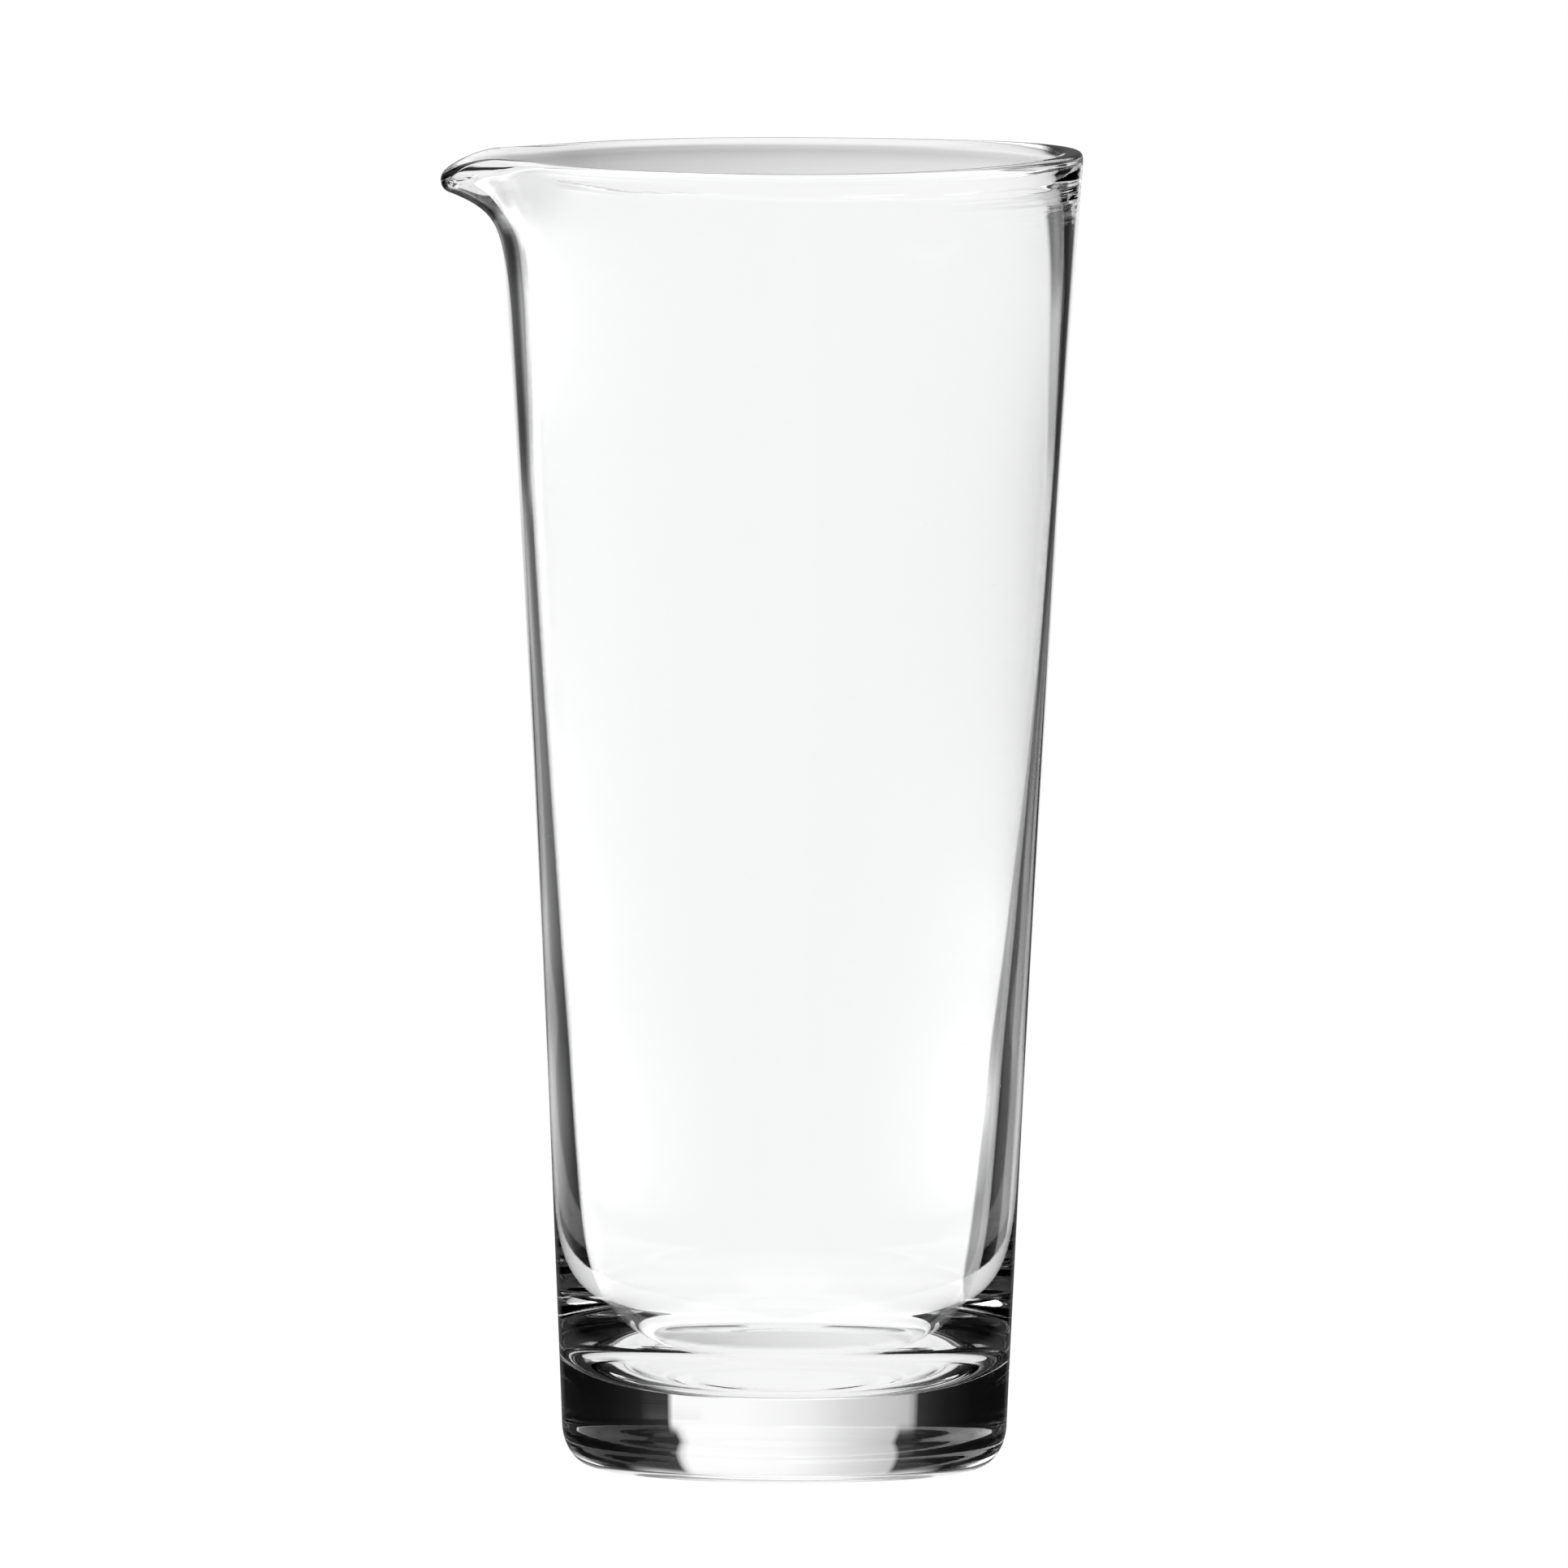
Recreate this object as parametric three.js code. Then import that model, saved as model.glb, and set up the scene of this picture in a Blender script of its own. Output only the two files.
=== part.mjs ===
// Mixing beaker: a tall, tapered vessel of clear glass, made in one piece.
// A thick solid base with a rounded heel carries a wall that thins upwards, then
// thickens again to a rounded rim drawn out on one side into a pouring lip.
//
// Units are millimetres. +Z is up. The origin is the centre of the resting face,
// and the pouring lip points along -X. The vessel is mirror-symmetric about the
// plane y = 0. Away from the lip it is nearly a body of revolution about Z: the rim
// climbs a little on the far side and the wall is slightly thicker on the lip side.
//
// Angles are in degrees about Z, measured from the middle of the lip.

import * as THREE from 'three';

// ---- overall ----
const HEIGHT = 186.1; // resting face to the top of the rim, before its rise and drop
const RIM_CAP_HEIGHT = 1.62; // height of the rounded top of the rim
const RIM_CENTRE_Z = HEIGHT - RIM_CAP_HEIGHT;

// ---- outer wall: radius = R0 + taper z + bow z^2, with a slight flare at the rim ----
const WALL_R0 = 31.3;
const WALL_TAPER = 0.0405;
const WALL_BOW = 7.3e-5;
const RIM_FLARE = 0.12;
const RIM_FLARE_LENGTH = 8; // height over which the flare dies away below the rim

// ---- base ----
const REST_RADIUS = 27; // flat resting face
const HEEL_HEIGHT = 6.25; // height of the rounded heel
const FLOOR_Z = 11.05; // thickness of glass under the middle of the bowl
const BOWL_TOP_Z = 44; // height at which the rounded floor meets the wall
const BOWL_POWER_R = 3.8; // squareness of the rounded floor, radially
const BOWL_POWER_Z = 3.9; // and vertically

// ---- wall thickness: [height, thickness], joined by a natural cubic spline ----
const THICKNESS = [
  [10, 4.5], [22, 4.15], [35, 3.73], [47, 3.33], [58.5, 3.03], [70, 2.63],
  [81.5, 2.3], [93, 1.97], [104.5, 1.69], [116, 1.47], [127.5, 1.37], [139, 1.37],
  [150.5, 1.6], [162, 1.85], [170, 2.05], [175.5, 2.3], [180, 2.7], [RIM_CENTRE_Z, 3.55],
];

// ---- uneven wall: a little thicker on the lip side, thinner on the far side ----
const UNEVEN = 0.3; // most that is added or taken away
const UNEVEN_FROM = 55; // height at which it starts
const UNEVEN_LENGTH = 45; // height over which it grows
const UNEVEN_FADE = 9; // height over which it fades out towards the rim

// ---- rim: it climbs gently towards the side away from the lip ----
const RIM_RISE = 0.85;
const RIM_RISE_LENGTH = 40; // height over which the climb dies away below the rim
const RIM_OUTER_POWER = 4; // squareness of the outer shoulder away from the lip
const RIM_ROUND_POWER = 2; // round: the inner shoulder, and the outer one at the lip

// ---- pouring lip ----
const LIP_REACH = 8.26; // how far the middle of the rim is drawn outwards
const LIP_LENGTH = 3.4; // height over which the drawing-out dies away below the rim
const LIP_CORE_SHARE = 0.87; // share of the reach in the narrow channel; flank has the rest
const LIP_CORE_HALF_ANGLE = 40;
const LIP_CORE_SHARPNESS = 2.07; // higher is a narrower channel
const LIP_FLANK_HALF_ANGLE = 57;
const LIP_DROP = 1.98; // how far the tip sits below the rest of the rim
const LIP_DROP_HALF_ANGLE = 17.4;
const LIP_DROP_LENGTH = 9; // height over which the drop dies away
const LIP_BEAD = 0.05; // extra share of the rim's thickness at the tip
const LIP_BEAD_LENGTH = 6; // height over which the bead dies away
const LIP_CAP_GAIN = 0.1; // extra share of the height of the rounded rim at the tip

// ---- facets ----
const LIP_ZONE_HALF_ANGLE = 42; // the columns are closer together within this angle
const LIP_COLUMNS = 24;
const BACK_COLUMNS = 44;
const HEEL_ROWS = 7;
const CAP_ROWS = 8;
const BOWL_ROWS = 14;
const BOWL_SAMPLES = 4000; // fine steps used to measure along the rounded floor
const REST_RINGS = [REST_RADIUS / 2, REST_RADIUS];
const SOLID_LEVELS = [20, 32]; // outside only, beside the rounded floor
const WALL_LEVELS = [
  BOWL_TOP_Z, 60, 78, 96, 114, 130, 146, 158, 166, 172, 175.5, 178, 179.8, 181.3, 182.5, 183.5,
];

// Natural cubic spline through [x, y] stations, held constant beyond both ends.
function naturalSpline(stations) {
  const last = stations.length - 1;
  const xs = stations.map(([x]) => x);
  const ys = stations.map(([, y]) => y);

  // Tridiagonal equations for the second derivatives, which are zero at both ends.
  const diagonal = [1];
  const above = [0];
  const curvature = [0];
  for (let i = 1; i < last; i++) {
    const before = xs[i] - xs[i - 1];
    const after = xs[i + 1] - xs[i];
    const slopeChange = (ys[i + 1] - ys[i]) / after - (ys[i] - ys[i - 1]) / before;
    const weight = before / diagonal[i - 1];
    diagonal[i] = 2 * (before + after) - weight * above[i - 1];
    above[i] = after;
    curvature[i] = 6 * slopeChange - weight * curvature[i - 1];
  }
  curvature[last] = 0;
  for (let i = last - 1; i > 0; i--) {
    curvature[i] = (curvature[i] - above[i] * curvature[i + 1]) / diagonal[i];
  }

  return (value) => {
    const x = THREE.MathUtils.clamp(value, xs[0], xs[last]);
    let i = 0;
    while (i < last - 1 && x > xs[i + 1]) i++;
    const span = xs[i + 1] - xs[i];
    const left = (xs[i + 1] - x) / span;
    const right = (x - xs[i]) / span;
    const bend = (left ** 3 - left) * curvature[i] + (right ** 3 - right) * curvature[i + 1];
    return left * ys[i] + right * ys[i + 1] + (bend * span * span) / 6;
  };
}

const wallThickness = naturalSpline(THICKNESS);

function outerRadius(z) {
  const flare = RIM_FLARE * Math.exp((z - RIM_CENTRE_Z) / RIM_FLARE_LENGTH);
  return WALL_R0 + WALL_TAPER * z + WALL_BOW * z * z + flare;
}

// Bell-shaped fading: 1 at distance 0, level there, and 1/e at the given length.
function bell(distance, length) {
  return Math.exp(-((distance / length) ** 2));
}

// Raised-cosine bump: 1 at angle 0, 0 beyond the half angle.
function bump(angle, halfAngle, sharpness = 1) {
  const share = Math.abs(angle) / halfAngle;
  return share >= 1 ? 0 : ((1 + Math.cos(Math.PI * share)) / 2) ** sharpness;
}

function cosDegrees(angle) {
  return Math.cos(THREE.MathUtils.degToRad(angle));
}

// Extra thickness on the lip side, taken from the far side, away from the base and the rim.
function unevenWall(z, angle) {
  const start = 1 - bell(Math.max(z - UNEVEN_FROM, 0), UNEVEN_LENGTH);
  const end = 1 - Math.exp(-(RIM_CENTRE_Z - z) / UNEVEN_FADE);
  return UNEVEN * start * end * cosDegrees(angle);
}

// Middle of the wall at the height z it has before the lip and rise are applied, with
// half the thickness there and the unit direction (upR, upZ) up along the wall.
function wallStation(z, angle) {
  const below = RIM_CENTRE_Z - z;
  const core = bump(angle, LIP_CORE_HALF_ANGLE, LIP_CORE_SHARPNESS);
  const flank = bump(angle, LIP_FLANK_HALF_ANGLE);

  const bead = 1 + LIP_BEAD * core * Math.exp(-below / LIP_BEAD_LENGTH);
  const half = (wallThickness(z) * bead + unevenWall(z, angle)) / 2;

  const reach = LIP_REACH * (LIP_CORE_SHARE * core + (1 - LIP_CORE_SHARE) * flank)
    * Math.exp(-below / LIP_LENGTH);
  const drop = LIP_DROP * bump(angle, LIP_DROP_HALF_ANGLE) * bell(below, LIP_DROP_LENGTH);
  const rise = RIM_RISE * Math.max(0, -cosDegrees(angle)) ** 2 * bell(below, RIM_RISE_LENGTH);

  // Slopes of the reach and of the height with respect to z.
  const slopeR = reach / LIP_LENGTH;
  const slopeZ = 1 + 2 * below * (rise / RIM_RISE_LENGTH ** 2 - drop / LIP_DROP_LENGTH ** 2);
  const size = Math.hypot(slopeR, slopeZ);
  return {
    r: outerRadius(z) - half + reach,
    z: z - drop + rise,
    half,
    upR: slopeR / size,
    upZ: slopeZ / size,
  };
}

// Point [r, z] set off from a wall station: outwards across the wall and up along it.
function offsetPoint(station, across, along = 0) {
  return [
    station.r + across * station.upZ + along * station.upR,
    station.z - across * station.upR + along * station.upZ,
  ];
}

// Resting face, heel and outside of the solid base, the same at every angle.
function baseCurve() {
  const points = REST_RINGS.map((r) => [r, 0]);
  const heelReach = outerRadius(HEEL_HEIGHT) - REST_RADIUS;
  for (let i = 1; i <= HEEL_ROWS; i++) {
    const turn = (Math.PI / 2) * (i / HEEL_ROWS);
    points.push([
      REST_RADIUS + heelReach * Math.sin(turn),
      HEEL_HEIGHT * (1 - Math.cos(turn)),
    ]);
  }
  for (const z of SOLID_LEVELS) points.push([outerRadius(z), z]);
  return points;
}

// Rounded top of the rim, from the outside over to the inside.
function rimCap(angle) {
  const rim = wallStation(RIM_CENTRE_Z, angle);
  const flank = bump(angle, LIP_FLANK_HALF_ANGLE);
  const outerPower = RIM_ROUND_POWER + (RIM_OUTER_POWER - RIM_ROUND_POWER) * (1 - flank);
  const capHeight = RIM_CAP_HEIGHT * (1 + LIP_CAP_GAIN * flank);
  const points = [];
  for (let i = 0; i <= CAP_ROWS; i++) {
    const turn = Math.PI * (i / CAP_ROWS);
    const power = i < CAP_ROWS / 2 ? outerPower : RIM_ROUND_POWER;
    const cosine = Math.cos(turn);
    const across = rim.half * Math.sign(cosine) * Math.abs(cosine) ** (2 / power);
    const along = capHeight * Math.sin(turn) ** (2 / power);
    points.push(offsetPoint(rim, across, along));
  }
  return points;
}

// Rounded floor, the same at every angle: points evenly spread along the curve from the
// wall in to the middle, leaving out both ends.
function bowlCurve() {
  // Even steps of turn, and even steps of height, so that no part is coarse.
  const turns = [];
  for (let i = 0; i <= BOWL_SAMPLES; i++) {
    const share = i / BOWL_SAMPLES;
    turns.push((Math.PI / 2) * share, Math.asin(share ** (BOWL_POWER_Z / 2)));
  }
  turns.sort((a, b) => a - b);
  const curve = turns.map((turn) => {
    const z = BOWL_TOP_Z - (BOWL_TOP_Z - FLOOR_Z) * Math.sin(turn) ** (2 / BOWL_POWER_Z);
    const r = (outerRadius(z) - wallThickness(z)) * Math.cos(turn) ** (2 / BOWL_POWER_R);
    return [r, z];
  });

  const lengths = [0];
  for (let i = 1; i < curve.length; i++) {
    const [r, z] = curve[i];
    const [lastR, lastZ] = curve[i - 1];
    lengths.push(lengths[i - 1] + Math.hypot(r - lastR, z - lastZ));
  }

  const points = [];
  let k = 0;
  for (let i = 1; i < BOWL_ROWS; i++) {
    const target = (lengths.at(-1) * i) / BOWL_ROWS;
    while (lengths[k + 1] < target) k++;
    const share = (target - lengths[k]) / (lengths[k + 1] - lengths[k]);
    points.push([0, 1].map((axis) => (
      THREE.MathUtils.lerp(curve[k][axis], curve[k + 1][axis], share)
    )));
  }
  return points;
}

const basePoints = baseCurve();
const bowlPoints = bowlCurve();

// Half-section [r, z] at one angle, without its two ends on the axis: out under the base,
// up the outside, over the rim, down the inside and in across the floor.
function section(angle) {
  const stations = WALL_LEVELS.map((z) => wallStation(z, angle));
  const outside = stations.map((station) => offsetPoint(station, station.half));
  const inside = stations.map((station) => offsetPoint(station, -station.half));
  return [...basePoints, ...outside, ...rimCap(angle), ...inside.reverse(), ...bowlPoints];
}

// Angles of the mesh columns, from -180 to 180.
function columnAngles() {
  const lipZone = 2 * LIP_ZONE_HALF_ANGLE;
  const angles = [];
  for (let i = 0; i < LIP_COLUMNS; i++) {
    angles.push(-LIP_ZONE_HALF_ANGLE + (lipZone * i) / LIP_COLUMNS);
  }
  for (let i = 0; i < BACK_COLUMNS; i++) {
    const angle = LIP_ZONE_HALF_ANGLE + ((360 - lipZone) * i) / BACK_COLUMNS;
    angles.push(angle > 180 ? angle - 360 : angle);
  }
  return angles;
}

// Closed skin: one ring of vertices per section point, and a fan at each end on the axis.
function vesselGeometry() {
  const angles = columnAngles();
  const sections = angles.map(section);
  const rings = sections[0].length;
  const columns = angles.length;

  const positions = [0, 0, 0];
  for (let ring = 0; ring < rings; ring++) {
    for (let i = 0; i < columns; i++) {
      const turn = THREE.MathUtils.degToRad(angles[i]);
      const [r, z] = sections[i][ring];
      positions.push(-r * Math.cos(turn), -r * Math.sin(turn), z);
    }
  }
  positions.push(0, 0, FLOOR_Z);

  const floorCentre = 1 + rings * columns;
  const vertex = (ring, column) => 1 + ring * columns + (column % columns);
  const index = [];
  for (let i = 0; i < columns; i++) {
    index.push(0, vertex(0, i + 1), vertex(0, i));
    for (let ring = 0; ring < rings - 1; ring++) {
      const here = vertex(ring, i);
      const opposite = vertex(ring + 1, i + 1);
      index.push(here, vertex(ring, i + 1), opposite);
      index.push(here, opposite, vertex(ring + 1, i));
    }
    index.push(vertex(rings - 1, i), vertex(rings - 1, i + 1), floorCentre);
  }

  const geometry = new THREE.BufferGeometry();
  geometry.setAttribute('position', new THREE.Float32BufferAttribute(positions, 3));
  geometry.setIndex(index);
  geometry.computeVertexNormals();
  return geometry;
}

function clearGlass() {
  return new THREE.MeshStandardMaterial({
    color: 0xf2f5f5,
    roughness: 0.03,
    metalness: 0,
    transparent: true,
    opacity: 0.28,
  });
}

function glassBody() {
  const mesh = new THREE.Mesh(vesselGeometry(), clearGlass());
  mesh.name = 'glass_body';
  return mesh;
}

const beaker = new THREE.Group();
beaker.name = 'mixing_beaker';
beaker.add(glassBody());

export default beaker;
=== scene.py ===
# One-piece glass mixing beaker: a fine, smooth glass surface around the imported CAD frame, with
# its material, a plain white table and a bright-field studio light.
# Metres, +Z up, standing on z = 0 about the Z axis, pouring lip towards -X, camera on the -Y side.
# The vessel's profile is worked out in mm; angles round it are in degrees from the lip (-X).
from functools import reduce
import math

import bpy
from mathutils import Matrix
import numpy as np


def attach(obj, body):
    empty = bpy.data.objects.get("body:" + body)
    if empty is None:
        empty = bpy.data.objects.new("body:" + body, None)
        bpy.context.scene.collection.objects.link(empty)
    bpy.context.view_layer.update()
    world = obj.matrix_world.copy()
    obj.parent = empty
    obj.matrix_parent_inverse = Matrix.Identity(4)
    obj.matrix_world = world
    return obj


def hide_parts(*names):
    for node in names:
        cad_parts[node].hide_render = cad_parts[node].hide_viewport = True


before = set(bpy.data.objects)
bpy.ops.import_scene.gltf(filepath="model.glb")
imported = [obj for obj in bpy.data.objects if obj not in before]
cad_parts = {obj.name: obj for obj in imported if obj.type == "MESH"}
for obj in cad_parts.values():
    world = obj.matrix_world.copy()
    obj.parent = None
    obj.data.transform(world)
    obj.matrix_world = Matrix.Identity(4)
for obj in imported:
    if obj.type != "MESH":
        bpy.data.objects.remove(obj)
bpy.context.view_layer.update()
scene = bpy.context.scene

# ------------------------------------------------------------------ vessel dimensions, mm
MM = 1e-3  # metres
HEIGHT = 186.1
RIM_CAP_HEIGHT = 1.62
RIM_CENTRE_Z = HEIGHT - RIM_CAP_HEIGHT
WALL_R0, WALL_TAPER, WALL_BOW = 31.3, 0.0405, 7.3e-5
RIM_FLARE, RIM_FLARE_LENGTH = 0.12, 8.0
REST_RADIUS, HEEL_HEIGHT = 27.0, 6.25
FLOOR_Z, BOWL_TOP_Z = 11.05, 44.0
BOWL_POWER_R, BOWL_POWER_Z = 3.8, 3.9  # squareness of the rounded floor
# wall thickness: (height, thickness)
THICKNESS = [
    (10, 4.5), (22, 4.15), (35, 3.73), (47, 3.33), (58.5, 3.03), (70, 2.63),
    (81.5, 2.3), (93, 1.97), (104.5, 1.69), (116, 1.47), (127.5, 1.37), (139, 1.37),
    (150.5, 1.6), (162, 1.85), (170, 2.05), (175.5, 2.3), (180, 2.7), (184.48, 3.55),
]
RIM_OUTER_POWER, RIM_INNER_POWER = 4.0, 2.0  # squareness of the rim's section
LIP_CAP_EXTRA = 0.1  # share by which the rim cap is taller at the lip
RIM_RISE, RIM_RISE_LENGTH = 0.85, 40.0
UNEVEN, UNEVEN_FROM, UNEVEN_LENGTH, UNEVEN_FADE = 0.30, 55.0, 45.0, 9.0
LIP_REACH, LIP_LENGTH = 8.26, 3.4
LIP_CORE_SHARE, LIP_CORE_HALF_ANGLE, LIP_CORE_SHARPNESS = 0.87, 40.0, 2.07
LIP_FLANK_HALF_ANGLE = 57.0
LIP_DROP, LIP_DROP_HALF_ANGLE, LIP_DROP_LENGTH = 1.98, 17.4, 9.0
LIP_BEAD, LIP_BEAD_LENGTH = 0.05, 6.0
# slow unevenness of the wall: (amplitude, waves round, phase per mm of height, phase)
WAVES = [(0.020, 2, 0.021, 0.7), (0.012, 3, -0.034, 2.1), (0.006, 5, 0.055, 4.0)]
WAVE_FADE = 16.0  # height over which the waviness sets in above the heel
INNER_TURN, INNER_BLEND = 23.0, 20.0  # inner waviness: turned by degrees, joined below the rim
# rings below the rim: amplitude, pitch, depth of their middle below the rim, spread
RIPPLE, RIPPLE_PITCH, RIPPLE_DEPTH, RIPPLE_SPREAD = 0.020, 1.02, 3.2, 4.2
RIPPLE_ANGLE, RIPPLE_HALF_ANGLE, RIPPLE_LEAST = 156.0, 34.0, 0.12

# mesh density
LIP_COLUMNS, BACK_COLUMNS, LIP_ZONE = 108, 204, 44.0  # LIP_ZONE: half angle of dense columns
BASE_RADII = (6.0, 12.0, 18.0, 23.0, 26.0, REST_RADIUS)
HEEL_ROWS, CAP_ROWS, BOWL_ROWS = 22, 30, 74
UPPER_Z = 160.0  # rows are closer together above this height
LOW_LEVELS = np.linspace(HEEL_HEIGHT, BOWL_TOP_Z, 20)[1:-1]
WALL_LEVELS = np.concatenate([
    np.linspace(BOWL_TOP_Z, UPPER_Z, 54),
    np.linspace(UPPER_Z, RIM_CENTRE_Z, 72)[1:-1],
])


# ------------------------------------------------------------------ vessel shape
def natural_spline(stations):
    """Natural cubic spline through the stations, held beyond its ends."""
    x, y = np.array(stations, float).T
    count = len(x)
    matrix = np.zeros((count, count))
    target = np.zeros(count)
    matrix[0, 0] = matrix[-1, -1] = 1.0
    for i in range(1, count - 1):
        before, after = x[i] - x[i - 1], x[i + 1] - x[i]
        matrix[i, i - 1:i + 2] = before, 2 * (before + after), after
        target[i] = 6 * ((y[i + 1] - y[i]) / after - (y[i] - y[i - 1]) / before)
    bend = np.linalg.solve(matrix, target)

    def value_at(at):
        at = np.clip(np.asarray(at, float), x[0], x[-1])
        i = np.clip(np.searchsorted(x, at) - 1, 0, count - 2)
        gap = x[i + 1] - x[i]
        p, q = (x[i + 1] - at) / gap, (at - x[i]) / gap
        curved = (p**3 - p) * bend[i] + (q**3 - q) * bend[i + 1]
        return p * y[i] + q * y[i + 1] + curved * gap * gap / 6

    return value_at


wall_thickness = natural_spline(THICKNESS)


def outer_radius(z):
    flare = RIM_FLARE * np.exp((z - RIM_CENTRE_Z) / RIM_FLARE_LENGTH)
    return WALL_R0 + WALL_TAPER * z + WALL_BOW * z * z + flare


def bump(angle, half_angle, power=1):
    """1 at the lip, falling smoothly to 0 at half_angle."""
    share = np.minimum(np.abs(angle) / half_angle, 1.0)
    return ((1 + np.cos(np.pi * share)) / 2) ** power


def uneven_wall(z, angle):
    """Extra thickness on the lip side, taken from the far side, away from the base and rim."""
    start = 1 - np.exp(-((max(z - UNEVEN_FROM, 0.0) / UNEVEN_LENGTH) ** 2))
    end = 1 - np.exp(-(RIM_CENTRE_Z - z) / UNEVEN_FADE)
    return UNEVEN * start * end * np.cos(np.radians(angle))


def rim_rise(angle):
    """How far the wall is lifted on the side away from the lip, at full height."""
    return RIM_RISE * np.maximum(0.0, -np.cos(np.radians(angle))) ** 2


def wall_station(z, angle):
    """Wall centre (radius, height), half thickness and upward direction (radial, vertical)."""
    below = RIM_CENTRE_Z - z
    lip = bump(angle, LIP_CORE_HALF_ANGLE, LIP_CORE_SHARPNESS)
    bead = 1 + LIP_BEAD * lip * np.exp(-below / LIP_BEAD_LENGTH)
    half = (wall_thickness(z) * bead + uneven_wall(z, angle)) / 2
    flank = bump(angle, LIP_FLANK_HALF_ANGLE)
    reach = LIP_REACH * (LIP_CORE_SHARE * lip + (1 - LIP_CORE_SHARE) * flank)
    drop = LIP_DROP * bump(angle, LIP_DROP_HALF_ANGLE)
    reach_fade = np.exp(-below / LIP_LENGTH)
    drop_fade = np.exp(-((below / LIP_DROP_LENGTH) ** 2))
    lift = rim_rise(angle) * np.exp(-((below / RIM_RISE_LENGTH) ** 2))
    radius = outer_radius(z) - half + reach * reach_fade
    height = z - drop * drop_fade + lift
    slope_r = reach * reach_fade / LIP_LENGTH
    slope_z = (1 - drop * drop_fade * (2 * below / LIP_DROP_LENGTH**2)
               + lift * (2 * below / RIM_RISE_LENGTH**2))
    size = np.hypot(slope_r, slope_z)
    return radius, height, half, slope_r / size, slope_z / size


def drawn_ripples(z, angle):
    """Faint rings left by turning the hot rim, strongest on the side away from the lip."""
    below = RIM_CENTRE_Z - z
    window = np.exp(-((below - RIPPLE_DEPTH) / RIPPLE_SPREAD) ** 2)
    nearness = np.exp(-(((np.abs(angle) - RIPPLE_ANGLE) / RIPPLE_HALF_ANGLE) ** 2))
    side = RIPPLE_LEAST + (1 - RIPPLE_LEAST) * nearness
    # three waves out of step, winding slowly round the wall
    phase = 2 * np.pi * (z / RIPPLE_PITCH + 0.010 * angle)
    wave = (np.sin(phase) + 0.55 * np.sin(1.63 * phase + 1.1 + 0.02 * angle)
            + 0.35 * np.sin(0.57 * phase + 2.3))
    return RIPPLE * window * side * wave


def hand_waviness(z, angle):
    """Slow unevenness of a hand-worked wall."""
    turn = np.radians(angle)
    return sum(size * np.sin(lobes * turn + twist * z + phase)
               for size, lobes, twist, phase in WAVES)


def bowl_curve(count):
    """Rounded floor: radii and heights from the wall to the middle, evenly spread."""
    depth = BOWL_TOP_Z - FLOOR_Z
    t = np.unique(np.concatenate([
        np.linspace(0, math.pi / 2, 4000),
        np.arcsin(np.linspace(0, 1, 4000) ** (BOWL_POWER_Z / 2)),
    ]))
    z = BOWL_TOP_Z - depth * np.sin(t) ** (2 / BOWL_POWER_Z)
    inner_radius = outer_radius(z) - wall_thickness(z)
    r = inner_radius * np.maximum(np.cos(t), 0.0) ** (2 / BOWL_POWER_R)
    r[-1] = 0.0
    run = np.concatenate([[0], np.cumsum(np.hypot(np.diff(r), np.diff(z)))])
    at = np.linspace(0, run[-1], count + 1)
    return np.interp(at, run, r), np.interp(at, run, z)


# ------------------------------------------------------------------ vessel mesh
# Each group of rows is a list of (radii, heights), one value per column.
def column_angles():
    """Dense across the lip, wider spaced round the rest."""
    lip = -LIP_ZONE + 2 * LIP_ZONE * np.arange(LIP_COLUMNS) / LIP_COLUMNS
    rest = LIP_ZONE + (360 - 2 * LIP_ZONE) * np.arange(BACK_COLUMNS) / BACK_COLUMNS
    angles = np.concatenate([lip, rest])
    return np.where(angles > 180, angles - 360, angles)


def base_rows(angles):
    """Flat underside, quarter-round heel and the outside as far as the bowl's top."""
    ones = np.ones_like(angles)
    rows = [(r * ones, 0 * ones) for r in BASE_RADII]
    heel_reach = float(outer_radius(HEEL_HEIGHT)) - REST_RADIUS
    for i in range(1, HEEL_ROWS + 1):
        t = (math.pi / 2) * i / HEEL_ROWS
        rows.append(((REST_RADIUS + heel_reach * math.sin(t)) * ones,
                     HEEL_HEIGHT * (1 - math.cos(t)) * ones))
    for z in LOW_LEVELS:
        fade = 1 - math.exp(-(((z - HEEL_HEIGHT) / WAVE_FADE) ** 2))
        rows.append((float(outer_radius(z)) * ones + fade * hand_waviness(z, angles), z * ones))
    return rows


def outer_rows(angles):
    rows = []
    for z in WALL_LEVELS:
        r, height, half, up_r, up_z = wall_station(z, angles)
        waves = hand_waviness(z, angles) + drawn_ripples(z, angles)
        rows.append((r + half * up_z + waves, height - half * up_r))
    return rows


def rim_rows(angles):
    """Rounded rim, from outside to inside; its outer half is squarer away from the lip."""
    rows = []
    away = 1 - bump(angles, LIP_FLANK_HALF_ANGLE)
    r, height, half, up_r, up_z = wall_station(RIM_CENTRE_Z, angles)
    waves = hand_waviness(RIM_CENTRE_Z, angles)
    cap_height = RIM_CAP_HEIGHT * (1 + LIP_CAP_EXTRA - LIP_CAP_EXTRA * away)
    for i in range(CAP_ROWS + 1):
        t = math.pi * i / CAP_ROWS
        power = 2 + (RIM_OUTER_POWER - 2) * away if t < math.pi / 2 else RIM_INNER_POWER
        across = half * abs(math.cos(t)) ** (2 / power) * math.copysign(1.0, math.cos(t))
        along = cap_height * max(math.sin(t), 0.0) ** (2 / power)
        rows.append((r + across * up_z + along * up_r + waves,
                     height - across * up_r + along * up_z))
    return rows


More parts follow.
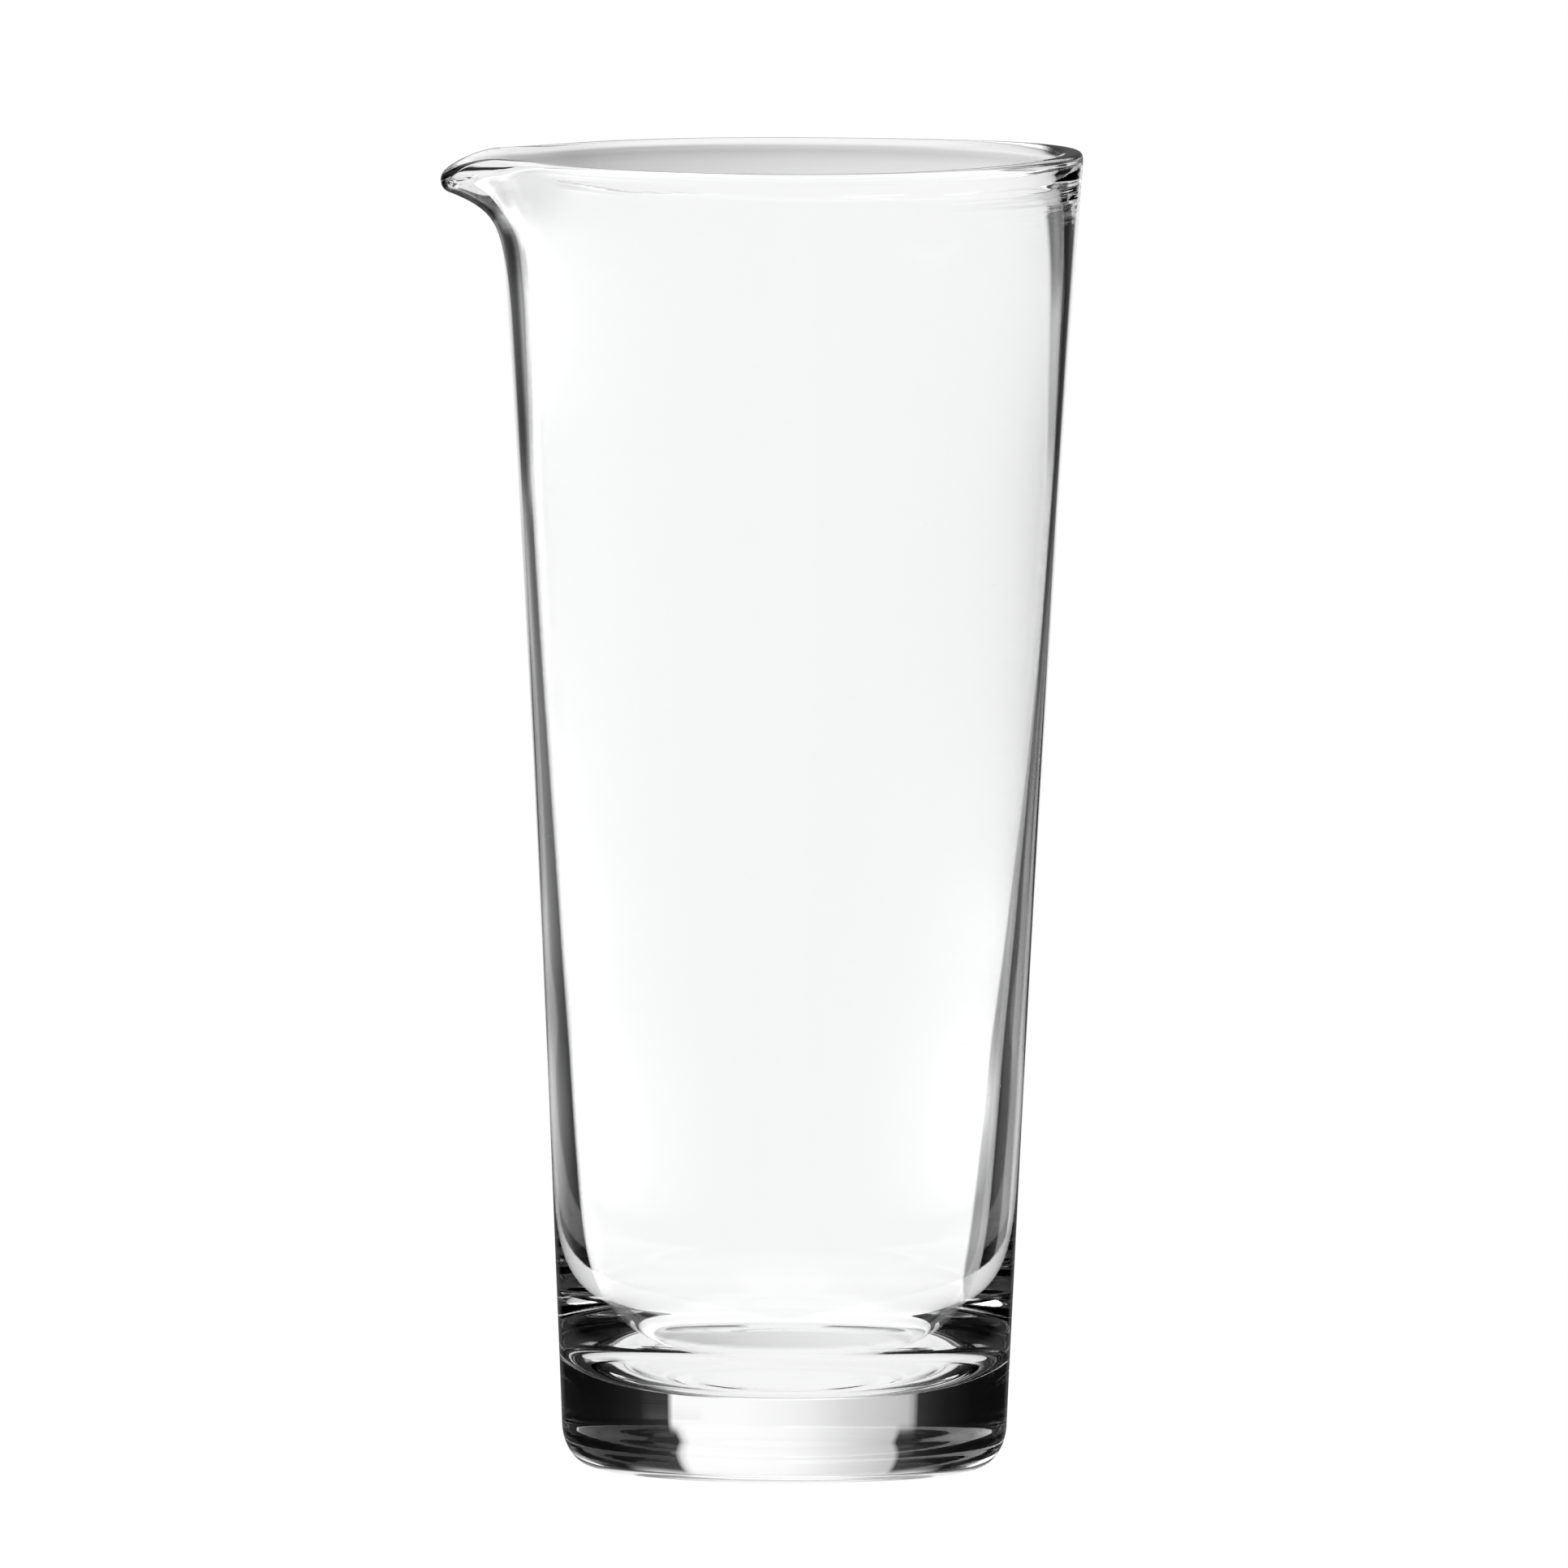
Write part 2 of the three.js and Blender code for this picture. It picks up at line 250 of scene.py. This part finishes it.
def inner_rows(angles):
    rows = []
    for z in WALL_LEVELS[::-1]:
        r, height, half, up_r, up_z = wall_station(z, angles)
        own = min(1.0, (RIM_CENTRE_Z - z) / INNER_BLEND)
        waves = (hand_waviness(z, angles + INNER_TURN) * own
                 + hand_waviness(z, angles) * (1 - own))
        rows.append((r - half * up_z + waves, height + half * up_r))
    return rows


def bowl_rows(angles):
    ones = np.ones_like(angles)
    radii, heights = bowl_curve(BOWL_ROWS)
    return [(r * ones + (r / radii[0]) ** 3 * hand_waviness(z, angles + INNER_TURN), z * ones)
            for r, z in zip(radii[1:-1], heights[1:-1])]


def add_mesh(name, verts, faces):
    mesh = bpy.data.meshes.new(name)
    mesh.from_pydata(verts, [], faces)
    mesh.update()
    added = bpy.data.objects.new(name, mesh)
    scene.collection.objects.link(added)
    return added


def make_vessel():
    angles = column_angles()
    rows = (base_rows(angles) + outer_rows(angles) + rim_rows(angles)
            + inner_rows(angles) + bowl_rows(angles))
    turns = np.radians(angles)
    verts = [(0.0, 0.0, 0.0)]
    for r, z in rows:
        for i, turn in enumerate(turns):
            verts.append((-r[i] * math.cos(turn) * MM, -r[i] * math.sin(turn) * MM, z[i] * MM))
    verts.append((0.0, 0.0, FLOOR_Z * MM))
    last = len(verts) - 1
    columns = len(angles)
    faces = []
    for i in range(columns):
        k = (i + 1) % columns
        faces.append((0, 1 + k, 1 + i))
        for j in range(len(rows) - 1):
            low, high = 1 + j * columns, 1 + (j + 1) * columns
            faces.append((low + i, low + k, high + k, high + i))
        top = 1 + (len(rows) - 1) * columns
        faces.append((top + i, top + k, last))
    made = add_mesh("glass_vessel", verts, faces)
    made.data.polygons.foreach_set("use_smooth", np.ones(len(faces), bool))
    return made


# ------------------------------------------------------------------ shader helpers
def grey(value):
    return (value, value, value, 1)


class Graph:
    """The emptied node tree of a material or world, with short ways to add nodes."""

    def __init__(self, owner):
        owner.use_nodes = True
        self.tree = owner.node_tree
        self.tree.nodes.clear()

    def feed(self, socket, value):
        """Link a socket to another, or set its value."""
        if isinstance(value, bpy.types.NodeSocket):
            self.tree.links.new(value, socket)
        else:
            socket.default_value = value

    def node(self, kind, **settings):
        """Add a node; each setting is a property of the node or feeds an input."""
        node = self.tree.nodes.new("ShaderNode" + kind)
        for key, value in settings.items():
            if hasattr(node, key):
                setattr(node, key, value)
            else:
                self.feed(node.inputs[key.replace("_", " ")], value)
        return node

    def math(self, operation, *values, clamp=False):
        node = self.node("Math", operation=operation, use_clamp=clamp)
        for socket, value in zip(node.inputs, values):
            self.feed(socket, value)
        return node.outputs[0]

    def product(self, *factors):
        return reduce(lambda a, b: self.math("MULTIPLY", a, b), factors)

    def xyz(self, vector):
        return self.node("SeparateXYZ", Vector=vector).outputs

    def length(self, vector):
        node = self.node("VectorMath", operation="LENGTH")
        self.feed(node.inputs[0], vector)
        return node.outputs["Value"]

    def ease(self, value, start, end, before=0.0, after=1.0, shape="SMOOTHSTEP"):
        """Go from `before` to `after` as the value goes from start to end."""
        node = self.node("MapRange", interpolation_type=shape, Value=value, From_Min=start,
                         From_Max=end, To_Min=before, To_Max=after)
        return node.outputs["Result"]

    def ramp(self, share, low, high, stops):
        """Piecewise-linear curve through (x, y) stops; share runs 0 to 1 from low to high."""
        node = self.node("ValToRGB", Fac=share)
        elements = node.color_ramp.elements
        while len(elements) > 1:
            elements.remove(elements[0])
        (x, y), *others = sorted(stops)
        elements[0].position = (x - low) / (high - low)
        elements[0].color = grey(y)
        for x, y in others:
            elements.new((x - low) / (high - low)).color = grey(y)
        return node.outputs[0]

    def curve(self, value, low, high, stops):
        """Piecewise-linear curve of a length in metres."""
        return self.ramp(self.ease(value, low, high, shape="LINEAR"), low, high, stops)

    def mix(self, factor, *colours, blend_type="MIX"):
        """Mix two colours; a plain number is a grey."""
        node = self.node("Mix", data_type="RGBA", blend_type=blend_type, Factor=factor)
        sockets = [socket for socket in node.inputs if socket.type == "RGBA"]
        for socket, colour in zip(sockets, colours):
            self.feed(socket, grey(colour) if isinstance(colour, (int, float)) else colour)
        return [socket for socket in node.outputs if socket.type == "RGBA"][0]

    def mix_shader(self, factor, first, second):
        node = self.node("MixShader")
        for socket, value in zip(node.inputs, (factor, first, second)):
            self.feed(socket, value)
        return node.outputs[0]


# ------------------------------------------------------------------ glass material
GLASS_TINT = (0.992, 0.996, 0.994, 1)
# the last two set the painted shade on the rim's outline: how much its specular is lowered and its
# base colour darkened
BASE_SPECULAR, RIM_SHADE_SPECULAR_LOSS = 0.5, 0.46
RIM_SHADE_DARKNESS = 0.93
# pitch of the rings in the painted glow on the rim
GLOW_RING_PITCH = 0.0026


def finish(g, place, x, y, z):
    """Roughness: almost smooth, with dust, faint haze and a scuffed ring under the base."""
    haze = g.node("TexNoise", Scale=46.0, Detail=4.0, Roughness=0.55, Vector=place)
    dust = g.node("TexVoronoi", feature="F1", Scale=210.0, Vector=place)
    dust_pick = g.node("SeparateColor", Color=dust.outputs["Color"]).outputs[0]
    # small dots in one cell out of ten
    specks = g.product(g.math("LESS_THAN", dust.outputs["Distance"], 0.030),
                       g.math("GREATER_THAN", dust_pick, 0.90))
    scuff_noise = g.node("TexNoise", Scale=1400.0, Detail=4.0, Roughness=0.7, Vector=place)
    radius = g.length(g.node("CombineXYZ", X=x, Y=y).outputs[0])
    ring = g.product(g.ease(radius, 0.0245, 0.0262), g.ease(z, 0.0001, 0.0006, 1.0, 0.0))
    scuffs = g.product(ring, g.ease(scuff_noise.outputs["Fac"], 0.50, 0.66))
    polish = g.ease(haze.outputs["Fac"], 0.52, 0.78, after=0.006)
    polish = g.math("ADD", polish, g.product(specks, 0.35))
    return g.math("ADD", polish, g.product(scuffs, 0.22))


def streak_relief(g, place):
    """Hairline streaks running round the wall, as a faint bump."""
    stretched = g.node("Mapping", Scale=(60.0, 60.0, 1500.0), Vector=place).outputs[0]
    streaks = g.node("TexNoise", Scale=1.0, Detail=3.0, Roughness=0.6, Vector=stretched)
    return g.node("Bump", Strength=0.05, Distance=0.00002, Height=streaks.outputs["Fac"]).outputs[0]


def painted_far_wall_shade(g, x, y, z):
    """Painted shade: soft grey laid on the far (+Y) wall seen through the mouth."""
    zone = g.product(g.ease(y, 0.004, 0.012), g.ease(z, 0.160, 0.176))
    zone = g.product(zone, g.ease(z, 0.1850, 0.1856, 1.0, 0.0))
    painted_shade = g.curve(x, -0.050, 0.050, [
        (-0.045, 0.80), (-0.041, 0.70), (-0.031, 0.60), (-0.020, 0.71), (0.0, 0.81),
        (0.0206, 0.88), (0.034, 0.97)])
    # the painted shade dips darker just under the rim's inner turn
    shade_dip = g.curve(z, 0.170, 0.190, [
        (0.1805, 1.0), (0.1830, 0.90), (0.1843, 0.74), (0.1850, 0.80), (0.1856, 1.0)])
    painted_shade = g.product(painted_shade, shade_dip)
    return g.math("ADD", 1.0, g.product(zone, g.math("SUBTRACT", painted_shade, 1.0)))


def painted_rim_shade(g, x, y, z, normal):
    """Painted shade: where the rim is darkened, on the outline of the lip's tip and the rim's turn
    at +X.
    """
    turn_x, _, turn_z = g.xyz(normal)
    side_on = g.math("SQRT", g.math("ADD", g.product(turn_x, turn_x), g.product(turn_z, turn_z)))
    below = g.math("SUBTRACT", turn_z, g.product(side_on, 0.30))
    outline = g.product(g.ease(side_on, 0.905, 0.955), g.ease(below, -0.12, 0.12, 1.0, 0.0))
    tip = g.product(g.ease(x, -0.0425, -0.0405, 1.0, 0.0), g.ease(z, 0.1745, 0.1765))
    outline = g.product(outline, tip, g.ease(turn_x, 0.0, 0.15, 1.0, 0.0))
    turned = g.product(g.ease(x, 0.0352, 0.0372), g.ease(turn_z, 0.25, 0.50),
                       g.ease(y, -0.014, -0.008))
    return g.math("MAXIMUM", outline, turned)


def painted_rim_glow(g, depth, object_x, object_z):
    """Painted glow on the rim, an emission standing in for light that has run round inside it many
    times: where it is laid, and its glow.
    """
    x, _, z = g.xyz(g.node("NewGeometry").outputs["Position"])
    far = g.math("GREATER_THAN", depth, 8.5)
    # the zone reaches lower towards the lip
    height = g.math("ADD", z, g.ease(x, -0.024, -0.016, 0.0265, 0.0))
    glow_zone = g.product(far, g.math("GREATER_THAN", height, 0.1765))
    # painted glow: even, fading away from the lip, then in bright and dark rings at the far side
    # from it
    even = g.ease(x, -0.030, 0.024, 0.94, 0.04, shape="LINEAR")
    rings = g.math("SINE", g.product(object_z, 2 * math.pi / GLOW_RING_PITCH))
    rings = g.product(g.ease(rings, 0.25, 0.55), g.ease(object_x, 0.020, 0.026, after=0.9))
    glow = g.node("Emission", Strength=g.math("MAXIMUM", even, rings))
    return glow_zone, glow.outputs[0]


def painted_wall_shade(g, path, x, y, z, incoming):
    """Painted shade: where light still inside the upper wall after four meetings is put out by a
    near-black emission, standing in for the dark screens.
    """
    again = g.product(g.math("GREATER_THAN", path.outputs["Ray Depth"], 3.5),
                      g.math("LESS_THAN", path.outputs["Transmission Depth"], 1.5))
    at_side = g.ease(g.math("ABSOLUTE", x), 0.0305, 0.0335)
    under_rim = g.math("SUBTRACT", z, g.ease(x, -0.005, 0.005, after=0.0032))
    steepness = g.math("ABSOLUTE", g.xyz(incoming)[2])
    upper = g.product(
        g.ease(z, 0.100, 0.150), g.ease(under_rim, 0.1765, 0.1780, 1.0, 0.0),
        g.ease(y, -0.0120, -0.0085), g.ease(steepness, 0.12, 0.20, 1.0, 0.0))
    return g.product(again, g.product(at_side, upper))


def make_glass():
    glass = bpy.data.materials.new("clear_glass")
    g = Graph(glass)
    bsdf = g.node("BsdfPrincipled", Base_Color=GLASS_TINT, Roughness=0.0, IOR=1.51,
                  Transmission_Weight=1.0)
    place = g.node("TexCoord").outputs["Object"]
    x, y, z = g.xyz(place)
    facing = g.node("NewGeometry")
    g.feed(bsdf.inputs["Roughness"], finish(g, place, x, y, z))
    g.feed(bsdf.inputs["Normal"], streak_relief(g, place))

    # painted shade, on camera rays only: how much of the bright field each part is made to pass
    # straight to the camera, darker on the far wall and on the rim's outline
    seen = g.node("LightPath").outputs["Is Camera Ray"]
    rim_shade_mask = painted_rim_shade(g, x, y, z, facing.outputs["Normal"])
    rim_shade_factor = g.math("SUBTRACT", 1.0, g.product(rim_shade_mask, RIM_SHADE_DARKNESS))
    painted_shade = g.product(painted_far_wall_shade(g, x, y, z), rim_shade_factor)
    painted_shade = g.math("ADD", 1.0, g.product(seen, g.math("SUBTRACT", painted_shade, 1.0)))
    painted_shade = g.product(painted_shade, painted_shade)
    # the painted rim shade also takes sheen off the rim's outline, for camera rays
    sheen_loss = g.product(rim_shade_mask, seen, RIM_SHADE_SPECULAR_LOSS)
    g.feed(bsdf.inputs["Specular IOR Level"], g.math("SUBTRACT", BASE_SPECULAR, sheen_loss))
    g.feed(bsdf.inputs["Base Color"], g.mix(1.0, GLASS_TINT, painted_shade, blend_type="MULTIPLY"))

    path = g.node("LightPath")
    glow_zone, glow = painted_rim_glow(g, path.outputs["Ray Depth"], x, z)
    # painted glow laid over the glass where light has run round inside the rim
    body = g.mix_shader(glow_zone, bsdf.outputs["BSDF"], glow)
    wall_shade_mask = painted_wall_shade(g, path, x, y, z, facing.outputs["Incoming"])
    # painted shade: a near-black glow laid on the sides of the upper wall
    painted_black = g.node("Emission", Strength=0.03).outputs[0]
    g.node("OutputMaterial", Surface=g.mix_shader(wall_shade_mask, body, painted_black))
    return glass


vessel = make_vessel()
vessel.data.materials.append(make_glass())
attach(vessel, "root")
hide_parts("glass_body")

# ------------------------------------------------------------------ table and contact shade
TABLE_HALF, TABLE_Z = 40.0, -0.0002
SHADE_RADIUS, SHADE_Z, SHADE_SEGMENTS = 0.031, -0.0001, 96


def make_table():
    """Plain white glowing square, seen directly but not through or in the glass."""
    corners = [(-1, -1), (1, -1), (1, 1), (-1, 1)]
    table = add_mesh("white_table", [(x * TABLE_HALF, y * TABLE_HALF, TABLE_Z)
                                     for x, y in corners], [(0, 1, 2, 3)])
    white = bpy.data.materials.new("white_table")
    g = Graph(white)
    g.node("OutputMaterial",
           Surface=g.node("Emission", Color=grey(1), Strength=1.0).outputs[0])
    table.data.materials.append(white)
    table.visible_transmission = False
    table.visible_glossy = False
    return table


def shade_material():
    """Glow that is dimmer behind the middle (+Y), most of all towards -X; clear at the edge."""
    material = bpy.data.materials.new("contact_shade")
    g = Graph(material)
    place = g.node("NewGeometry").outputs["Position"]
    x, y, _ = g.xyz(place)
    dim = g.curve(x, -SHADE_RADIUS, SHADE_RADIUS, [
        (-0.031, 0.46), (-0.015, 0.46), (-0.006, 0.62), (0.0, 0.68), (0.012, 0.80), (0.031, 0.84)])
    back = g.curve(y, -SHADE_RADIUS, SHADE_RADIUS, [
        (-0.031, 0.0), (-0.001, 0.0), (0.0035, 1.0), (0.017, 1.0), (0.024, 0.5), (0.031, 0.2)])
    solid = g.curve(g.length(place), 0.0, SHADE_RADIUS, [
        (0.0, 1.0), (0.0275, 1.0), (0.030, 0.0), (0.031, 0.0)])
    glow = g.node("Emission", Color=g.mix(back, 0.97, dim)).outputs[0]
    clear = g.node("BsdfTransparent").outputs[0]
    g.node("OutputMaterial", Surface=g.mix_shader(solid, clear, glow))
    return material


def make_contact_shade():
    """Disc under the base, only seen through the glass."""
    turns = [2 * math.pi * i / SHADE_SEGMENTS for i in range(SHADE_SEGMENTS)]
    verts = [(0, 0, SHADE_Z)]
    verts += [(SHADE_RADIUS * math.cos(t), SHADE_RADIUS * math.sin(t), SHADE_Z) for t in turns]
    faces = [(0, 1 + i, 1 + (i + 1) % SHADE_SEGMENTS) for i in range(SHADE_SEGMENTS)]
    shade = add_mesh("contact_shade", verts, faces)
    shade.data.materials.append(shade_material())
    shade.visible_camera = False
    shade.visible_shadow = False
    return shade


make_table()
make_contact_shade()

# ------------------------------------------------------------------ studio light
# Brightness by direction from the camera: (degrees, brightness), + to the right or upwards.
WHITE = 1.06
SCREEN_START = 26.5
# tall screens, darkest well to the side
DARK = [(SCREEN_START, 0.040), (30.5, 0.022), (36, 0.011), (46, 0.004), (60, 0.002), (105, 0.002)]
FRONT = [(130, 0.04), (180, 0.06)]  # dim room behind the camera
# just above table level, and higher: a white backdrop shaded off to the left
LOW_BACKDROP = [(-25.0, 0.54), (-12, 0.72), (-4, 0.93), (0, 0.99), (8, WHITE), (21.4, WHITE)]
HIGH_BACKDROP = [(-21.4, 0.56), (-12, 0.76), (-4, 0.96), (0, 1.02), (8, WHITE), (19.4, WHITE)]
# on the table: a narrower white strip with grey beside it
TABLE_STRIP = [(-27.5, 0.10), (-17, 0.18), (-10, 0.24), (-7.5, 1.0), (0, 1.04), (8, WHITE),
               (14, WHITE), (15.5, 0.34), (27, 0.30)]
# the backdrop as seen along the wall's edges: (degrees up, curve across)
EDGE_LEVELS = [
    (-6.6, [(-34, 0.05), (-30, 0.05), (-27, 0.07), (-23, 0.15), (-18, 0.22), (-12, 0.34),
            (-8, 1.0), (0, 1.3), (12, 1.3), (14, 1.1), (15.5, 0.38), (23, 0.38), (27, 0.33),
            (29.5, 0.05), (40, 0.02)]),
    (-4.6, [(-34, 0.20), (-28, 0.24), (-24, 0.28), (-20, 0.45), (-14, 0.70), (-8, 1.2),
            (0, 1.3), (10, 1.3), (12.5, 0.9), (18, 0.15), (23, 0.07), (27, 0.03), (40, 0.02)]),
    (-1.5, [(-30, 0.15), (-25, 0.20), (-21, 0.40), (-15, 1.2), (0, 1.3), (7, 0.9), (10, 0.5),
            (13, 0.2), (17, 0.1), (25, 0.04), (40, 0.02)]),
    (0.6, [(-34, 0.40), (-30, 0.9), (-27, 0.48), (-24, 0.22), (-19, 0.32), (-15, 0.6),
           (-10, 1.1), (0, 1.2), (8, 1.0), (12, 0.54), (15, 0.25), (17, 0.14), (20, 0.08),
           (25, 0.03), (40, 0.02)]),
    (2.0, [(-34, 0.22), (-31, 0.12), (-28, 0.03), (-24, 0.05), (-21, 0.07), (-17, 0.12),
           (-13, 0.22), (-11, 0.40), (-7, 1.2), (0, 1.2), (8, 1.0), (12, 0.6), (15, 0.25),
           (17, 0.12), (20, 0.06), (25, 0.03), (40, 0.01)]),
    (3.4, [(-36, 0.22), (-33, 0.20), (-30, 0.09), (-27, 0.03), (-22, 0.06), (-19, 0.08),
           (-15, 0.18), (-11, 0.30), (-7, 1.1), (0, 1.1), (8, 1.0), (12, 0.6), (14, 0.25),
           (19, 0.12), (23, 0.07), (26, 0.03), (40, 0.01)]),
    (5.5, [(-34, 0.06), (-27, 0.03), (-23, 0.05), (-19, 0.09), (-14, 0.20), (-9, 1.0),
           (0, 1.1), (9, 1.0), (12, 0.5), (15, 0.18), (19, 0.14), (23, 0.09), (26, 0.03),
           (40, 0.02)]),
]
GLANCE = [(-180, 0.05), (-105, 0.002), (-24, 0.03), (-15, 0.9), (0, 1.15), (13, 1.1),
          (22, 0.03), (105, 0.002), (180, 0.05)]


class Studio(Graph):
    """World nodes, with the direction of the light in degrees from the camera's view."""

    def __init__(self, owner):
        super().__init__(owner)
        x, y, z = self.xyz(self.node("TexCoord").outputs["Camera"])
        degrees = 180 / math.pi
        self.across = self.product(self.math("ARCTAN2", x, z), degrees)
        height = self.math("MAXIMUM", self.math("MINIMUM", y, 0.99999), -0.99999)
        self.up = self.product(self.math("ARCSINE", height), degrees)
        self.path = self.node("LightPath")

    def all_round(self, value, stops):
        """Curve through (degrees, value) stops that reach from -180 to 180."""
        share = self.math("DIVIDE", self.math("ADD", value, 180.0), 360.0, clamp=True)
        return self.ramp(share, -180.0, 180.0, stops)

    def held(self, value, *stops):
        """Curve through (degrees, value) stops, held level beyond them."""
        return self.all_round(value, [(-180, stops[0][1]), *stops, (180, stops[-1][1])])

    def only_after(self, turns):
        """1 for light that has met the glass surface the given number of times, else 0."""
        return self.math("COMPARE", self.path.outputs["Ray Depth"], turns + 1.0, 0.5)

    def less(self, share):
        return self.math("SUBTRACT", 1.0, share)


def between_screens(s, left, right, inner):
    """The inner curve between two dark screens that start at the given angles."""
    stops = [(-x - (left - SCREEN_START), y) for x, y in DARK]
    stops += [(x + (right - SCREEN_START), y) for x, y in DARK]
    stops += [(-x, y) for x, y in FRONT] + FRONT
    return s.all_round(s.across, stops + inner)


def backdrop(s):
    low = between_screens(s, 26.0, 22.2, LOW_BACKDROP)
    high = between_screens(s, 22.4, 20.4, HIGH_BACKDROP)
    level = s.mix(s.held(s.up, (2, 0), (9, 1)), low, high)
    strip = between_screens(s, 29.0, 29.5, TABLE_STRIP)
    return s.mix(s.held(s.up, (-0.4, 0.0), (0.6, 1.0)), strip, level)


def wall_edges(s):
    """What light turned once inside a wall sees, level by level."""
    edges = None
    for at, stops in EDGE_LEVELS:
        here = s.all_round(s.across, [(-180, 0.02), (-45, 0.02), *stops, (180, 0.02)])
        edges = here if edges is None else s.mix(s.held(s.up, (last_at, 0), (at, 1)), edges, here)
        last_at = at
    return edges


def near_table(s):
    """Where the table close under the glass is seen, wider as it comes nearer."""
    edge = s.product(s.math("ADD", s.up, 4.04), -2.7)
    margin = s.math("SUBTRACT", edge, s.math("ABSOLUTE", s.across))
    inside = s.math("ADD", s.math("DIVIDE", margin, 2.0), 0.5, clamp=True)
    return s.product(inside, s.held(s.up, (-8.0, 1), (-7.0, 0)))


def straight_through(s):
    """What light that only crosses the two walls sees: a field brighter towards its sides."""
    gain = s.held(s.up, (-5.5, 0.0018), (-4.5, 0.0031), (-3.5, 0.0050), (-1, 0.0088),
                  (2, 0.0083), (5, 0.0050), (9, 0.004))
    clear = s.math("ADD", s.product(s.across, s.across, gain), 1.09)
    clear = s.math("MINIMUM", clear, 2.6)
    veil_right = s.product(s.held(s.across, (14.2, 0), (15.2, 1)),
                           s.held(s.up, (-4.4, 1), (-3.6, 0), (3.4, 0), (4.2, 1)))
    veil_left = s.product(s.held(s.across, (-12.6, 1), (-11.6, 0)),
                          s.held(s.up, (3.4, 0), (4.2, 1)))
    veils = s.product(s.math("MAXIMUM", veil_right, veil_left), 0.68)
    # high up the tall screens reach further in
    right = s.product(s.held(s.across, (8.7, 0), (9.1, 1)),
                      s.held(s.up, (1.1, 0), (1.9, 0.6), (4.5, 0.82)))
    far_right = s.product(s.held(s.across, (14.8, 0), (15.8, 1)),
                          s.held(s.up, (3.4, 0), (4.4, 0.98)))
    left = s.product(s.held(s.across, (-16.8, 1), (-16.2, 0)),
                     s.held(s.up, (1.5, 0), (2.0, 0.86)))
    screens = s.math("MAXIMUM", s.math("MAXIMUM", right, far_right), left)
    return s.product(clear, s.less(veils), s.less(screens))


def glancing(s):
    """What light glancing off the outside sees: the whole backdrop."""
    # a few degrees up or down, spread out to fill the curve
    fine = s.product(s.math("MAXIMUM", s.math("MINIMUM", s.up, 4.0), -4.0), 40.0)
    return s.product(s.all_round(s.across, GLANCE), s.held(
        fine, (-34, 0.1), (-26, 1.0), (12, 1.0), (22, 0.5), (31, 0.12)))


def ceiling(s):
    """A white panel along the view, dark to either side until nearly overhead."""
    middle = s.held(s.math("ABSOLUTE", s.across), (28, 1), (40, 0), (140, 0), (152, 1))
    panel = s.math("MAXIMUM", middle, s.held(s.up, (46, 0), (56, 1)))
    return s.mix(panel, 0.01, 0.96)


def make_studio():
    world = bpy.data.worlds.new("studio")
    scene.world = world
    s = Studio(world)
    edge_zone = s.held(s.up, (-14, 0), (-12, 1), (8, 1), (12, 0))
    bands = s.mix(s.product(s.only_after(3), edge_zone), backdrop(s), wall_edges(s))
    bands = s.mix(near_table(s), bands, 0.96)
    upright = s.held(s.up, (14, 1), (20, 0))
    bands = s.mix(s.product(s.only_after(4), upright), bands, straight_through(s))
    below_ceiling = s.held(s.up, (20, 1), (26, 0))
    bands = s.mix(s.product(s.only_after(1), below_ceiling), bands, glancing(s))
    field = s.mix(s.held(s.up, (22, 0), (32, 1)), bands, ceiling(s))
    # the camera itself sees plain white
    final = s.mix(s.path.outputs["Is Camera Ray"], field, 1.0)
    s.node("OutputWorld", Surface=s.node("Background", Color=final, Strength=1.0).outputs[0])


make_studio()

# ------------------------------------------------------------------ camera
CAMERA_AT = np.array([-0.00052, -5.60, 0.554])
CAMERA_AIM = np.array([-0.00052, 0.0, 0.0969])
CAMERA_ROLL = math.radians(0.3)
VIEW_WIDTH = 0.22218  # width seen at the aim point
SENSOR_WIDTH = 36.0  # mm


def make_camera():
    forward = CAMERA_AIM - CAMERA_AT
    distance = float(np.linalg.norm(forward))
    forward /= distance
    level = np.cross(forward, (0, 0, 1))
    level /= np.linalg.norm(level)
    upright = np.cross(level, forward)
    right = level * math.cos(CAMERA_ROLL) + upright * math.sin(CAMERA_ROLL)
    up = upright * math.cos(CAMERA_ROLL) - level * math.sin(CAMERA_ROLL)

    lens = bpy.data.cameras.new("camera")
    camera = bpy.data.objects.new("camera", lens)
    scene.collection.objects.link(camera)
    axes = np.column_stack([right, up, -forward, CAMERA_AT])
    camera.matrix_world = Matrix(axes.tolist() + [[0, 0, 0, 1]])
    lens.sensor_width = SENSOR_WIDTH
    lens.lens = SENSOR_WIDTH * distance / VIEW_WIDTH
    lens.clip_end = 60.0
    scene.camera = camera


make_camera()

scene.view_settings.view_transform = "Standard"
scene.cycles.max_bounces = 24
scene.cycles.transmission_bounces = 24
scene.cycles.glossy_bounces = 16
